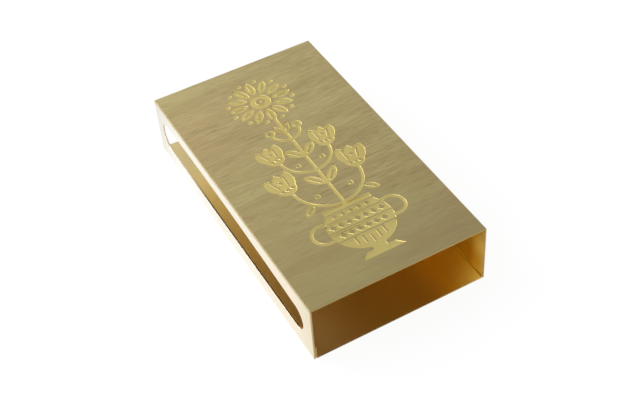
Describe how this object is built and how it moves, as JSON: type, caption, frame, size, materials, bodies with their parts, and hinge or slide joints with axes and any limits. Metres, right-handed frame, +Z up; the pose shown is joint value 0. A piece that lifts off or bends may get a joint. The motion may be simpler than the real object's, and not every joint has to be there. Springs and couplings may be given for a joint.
{
  "type": "matchbox holder",
  "caption": "Open-ended brass sleeve that holds a flat matchbox, with a long striker slot in one side wall and an etched flower ornament on its brushed upper plate.",
  "frame": {"origin": "middle of the resting face, halfway between the two open ends", "axes": "+Y along the sleeve towards the back opening, +Z up through the etched plate, +X away from the slotted side wall"},
  "size_m": [0.066, 0.12, 0.024],
  "materials": {
    "brushed_brass": "brushed across the width, etched and polished ornament, lacquered",
    "polished_brass": "polished sheet",
    "solder": "dull soft solder, tinted by the brass it lies on"
  },
  "bodies": {
    "root": {"top_plate": "brushed_brass", "base_plate": "polished_brass", "striker_wall": "polished_brass", "plain_wall": "polished_brass", "solder_top_striker_wall": "solder", "solder_top_plain_wall": "solder", "solder_base_plain_wall": "solder", "solder_base_groove": "solder", "solder_lap_seam": "solder"}
  },
  "joints": []
}
